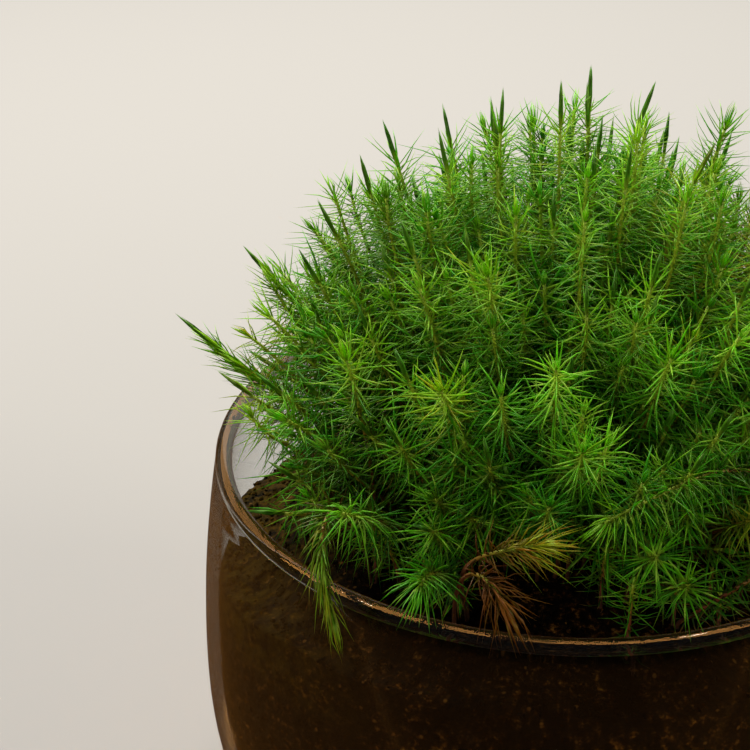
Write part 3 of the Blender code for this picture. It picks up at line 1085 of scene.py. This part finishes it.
# %% Grow the tall shoots
DRY_PLACES = (
    ((29, 0, 38), 14, 0.5),
    ((-17, -34, 30), 5, 0.45),
    ((-44, 2, 12), 18, 0.35),
    ((25, -38, 14), 9, 0.6),
)
TONE_SPREAD = 0.26
TONE_OF_HEIGHT = ((0, 0.0), (25, 0.02), (40, 0.16), (52, 0.2))  # by millimetres above the mouth
TONE_OF_LEFT = 0.12
DROOPING = ((0, 104), (0.4, 92), (0.6, 34), (1, 15))
BOWED = ((0, 98), (0.5, 78), (0.8, 50), (1, 28))
PLUME = ((0, 88), (0.45, 66), (0.7, 34), (0.86, 14), (1, 9))
OWN_WAYS = {
    1: {"spear": 1.1, "stance": PLUME},
    12: {"open_tip": True, "vigour": 1.1, "leafy_from": 0.5},
    13: {"open_tip": True, "crowd": 1.2},
    15: {"open_tip": True, "sag": 0.3},
    16: {"open_tip": True, "sag": 0.25, "crowd": 1.3, "stance": BOWED},
    18: {"spear": 1.3, "vigour": 1.1, "crowd": 1.5, "sag": 0.12, "stance": PLUME},
    19: {"open_tip": True, "sag": 0.15, "crowd": 1.1, "vigour": 0.9, "spear": 1.6, "stance": DROOPING},
    20: {"open_tip": True, "sag": 0.25},
    21: {"open_tip": True, "sag": 0.25, "crowd": 1.3},
    43: {"open_tip": True, "crowd": 0.8},
    47: {"open_tip": True, "crowd": 0.8},
    54: {"open_tip": True, "sag": 0.5},
}
SHUT_TIPS = (1, 2, 3, 4, 5, 6, 7, 8, 9, 10, 11, 18, 23, 25, 40)
OWN_TONES = {1: 0.45, 18: 0.42, 19: 0.6}


def plant_tone(tip, dice):
    """0 is deep green, a half is yellow-green and 1 is dry."""
    tone = dice.uniform(0.0, TONE_SPREAD) + (0.25 if dice.uniform() > 0.93 else 0)
    tone += float(from_table(TONE_OF_HEIGHT, (tip.z - JAR_HEIGHT) / MM))
    tone += TONE_OF_LEFT * min(max(-tip.x / BELLY_RADIUS, 0), 1)
    for place, reach, dryness in DRY_PLACES:
        away = (tip - from_mouth(place)).length / (reach * MM)
        tone += dryness * max(0, 1 - away**2)
    return min(tone, 1.0)


def grow_tall_shoots():
    dice = np.random.default_rng(8)
    total = 0
    for number, handles in enumerate(tall_shoots, 1):
        tone = OWN_TONES.get(number, plant_tone(handles[3], dice))
        open_tip = dice.uniform() > 0.6 and number not in SHUT_TIPS
        own = OWN_WAYS.get(number, {"open_tip": open_tip, "crowd": 1.0 if open_tip else 0.85})
        own = {"fresh_and_shade": dice.uniform(0.8, 1.0), **own}
        parts = shoot_parts(handles, dice, tone, **own)
        piece = joined_mesh(f"leafy_shoot_{number:02d}", parts, moss_finishes)
        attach(piece, "root")
        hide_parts(f"shoot_{number:02d}")
        total += count_triangles(piece)
    return total


print("tall shoots:", grow_tall_shoots(), "triangles")

# %% [markdown]
# ## The short shoots
#
# The short shoots are joined by the part of the clump that they stand in, so that no piece grows
# too large. The inner ones are old, with few, broad leaves, darkened as painted shade. Two dead
# ones, ochre and brown, hang into the hollow at the front.

# %% Grow the short shoots
SECTORS = 8
INNER_TONE = 0.1
BRUSH = ((0, 82), (0.6, 60), (1, 30))
DEAD_SHOOTS = (
    (((-14, -30, -8), (-18, -40, 8), (-13, -45, 11), (-5, -46, 13)), 0.85, 1.0),
    (((-16, -33, -8), (-17, -41, 8), (-13, -46, 11), (-10, -47, 3)), 1.0, 0.5),
)


def sector_of(handles):
    return int(math.atan2(handles[3].y, handles[3].x) % (2 * math.pi) / (2 * math.pi) * SECTORS)


def grow_short_shoots():
    dice = np.random.default_rng(17)
    sectors = [[] for _ in range(SECTORS)]
    for handles in short_shoots:
        ways = {"vigour": dice.uniform(0.85, 1.0), "open_tip": dice.uniform() > 0.4}
        ways |= {"sag": dice.uniform(0.04, 0.25), "fresh_and_shade": dice.uniform(0.6, 1.0)}
        parts = shoot_parts(handles, dice, plant_tone(handles[3], dice), SIMPLE_LEAF, 0.3, **ways)
        sectors[sector_of(handles)].extend(parts)
    for handles in low_shoots:
        ways = {"vigour": dice.uniform(0.8, 0.95), "open_tip": True, "spear": 0.5}
        parts = shoot_parts(handles, dice, plant_tone(handles[3], dice), SIMPLE_LEAF, 0.02, **ways)
        sectors[sector_of(handles)].extend(parts)
    for handles in inner_shoots:
        # The inner shoots' leaves are kept darker than their age makes them: painted shade inside the
        # clump.
        ways = {"vigour": 1.4, "open_tip": True, "spear": 0.5, "crowd": 0.4, "fresh_and_shade": 0.7}
        sectors[sector_of(handles)].extend(shoot_parts(handles, dice, INNER_TONE, SIMPLE_LEAF, 0.1, **ways))
    for places, tone, fresh_and_shade in DEAD_SHOOTS:
        handles = tuple(from_mouth(place) for place in places)
        ways = {"open_tip": True, "spear": 0.8, "crowd": 1.3, "fresh_and_shade": fresh_and_shade, "sag": 0.15, "stance": BRUSH}
        sectors[sector_of(handles)].extend(shoot_parts(handles, dice, tone, SIMPLE_LEAF, 0.5, **ways))
    total = 0
    for number, parts in enumerate(sectors, 1):
        piece = joined_mesh(f"short_shoots_{number}", parts, moss_finishes)
        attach(piece, "root")
        total += count_triangles(piece)
    return total


print("short shoots:", grow_short_shoots(), "triangles")

# %% [markdown]
# ## The set
#
# A plain pale floor and soft studio light from large lamps: the main one high at the left and
# behind, as in the photograph, where the upper left of the moss is bright and its front falls
# into shade.
#
# Glass mirrors whatever is round it. A pale floor would veil the dark soil, and a lamp shows as a
# hard white patch. A photographer would lay dark card round the jar, out of the frame, and hide
# the lamps with flags. Here the floor itself is pale where it is seen straight on or through the
# glass, but as brown as the photograph's table for light that has been mirrored or scattered
# once. And each lamp can be linked to the pieces that it lights: the jar doesn't see the large
# lamp. Its lights are two warm cards, behind and overhead, which draw the golden line along the
# rim, and two small glints.

# %% The floor
PALE_FLOOR = (0.33, 0.325, 0.355)
BROWN_TABLE = (0.05, 0.021, 0.005)


def add_floor():
    start_piece()
    bpy.ops.mesh.primitive_plane_add(size=6, location=(0, 0, 0))
    floor = settle(bpy.context.object, "studio_floor")
    made, tree, shader = new_material("pale floor")
    light = add_node(tree, "ShaderNodeLightPath")
    bounced = add_node(tree, "ShaderNodeMath", operation="ADD", use_clamp=True)
    join(tree, light.outputs["Glossy Depth"], bounced.inputs[0])
    join(tree, light.outputs["Diffuse Depth"], bounced.inputs[1])
    join(tree, mixed(tree, bounced.outputs[0], PALE_FLOOR, BROWN_TABLE), shader.inputs["Base Color"])
    shader.inputs["Roughness"].default_value = 0.6
    shader.inputs["Specular IOR Level"].default_value = 0
    floor.data.materials.append(made)
    return floor


studio_floor = add_floor()

# %% The lamps
CLUMP_MIDDLE = (0, 0, 0.07)


def add_lamp(name, place, size, power, colour):
    bpy.ops.object.light_add(type="AREA", location=place)
    lamp = bpy.context.object
    lamp.name = name
    lamp.data.shape = "RECTANGLE"
    lamp.data.size, lamp.data.size_y = size
    lamp.data.energy = power
    lamp.data.color = colour
    lamp.visible_camera = False
    aim = Vector(CLUMP_MIDDLE) - Vector(place)
    lamp.rotation_euler = aim.to_track_quat("-Z", "Y").to_euler()
    return lamp


def link_to_jar(lamps, only):
    """Lets these lamps light only the jar, or all but the jar."""
    group = bpy.data.collections.new("jar only" if only else "all but the jar")
    group.objects.link(glass_jar)
    for entry in group.collection_objects:
        entry.light_linking.link_state = "INCLUDE" if only else "EXCLUDE"
    for lamp in lamps:
        lamp.light_linking.receiver_collection = group


def add_light():
    main = add_lamp("main_lamp", (-0.12, 0.4, 0.6), (0.8, 0.3), 12, (1.0, 0.95, 0.78))
    fill = add_lamp("front_fill", (-0.5, -0.62, 0.3), (0.25, 0.25), 2.0, (1.0, 0.93, 0.8))
    side = add_lamp("side_fill", (0.6, -0.2, 0.3), (0.25, 0.25), 2.0, (1.0, 0.95, 0.65))
    link_to_jar((main, fill, side), only=False)
    behind = add_lamp("card_behind", (0, 0.6, 0.6), (2.0, 0.5), 8, (1.0, 0.5, 0.16))
    overhead = add_lamp("card_overhead", (0, 0.02, 0.76), (2.2, 0.6), 30, (1.0, 0.46, 0.11))
    left_glint = add_lamp("left_glint", (-0.43, 0.04, 0.68), (0.12, 0.05), 0.6, (1.0, 0.95, 0.85))
    right_glint = add_lamp("right_glint", (0.26, 0.03, 0.77), (0.12, 0.05), 0.6, (1.0, 0.95, 0.85))
    for_the_rim = (behind, overhead, left_glint, right_glint)
    link_to_jar(for_the_rim, only=True)
    for lamp in for_the_rim:
        lamp.visible_transmission = False
    world = bpy.data.worlds.new("studio")
    world.use_nodes = True
    world.node_tree.nodes["Background"].inputs["Color"].default_value = (0.85, 0.87, 0.85, 1)
    world.node_tree.nodes["Background"].inputs["Strength"].default_value = 0.12
    world.cycles_visibility.glossy = False
    bpy.context.scene.world = world
    bpy.context.scene.view_settings.view_transform = "Standard"


add_light()
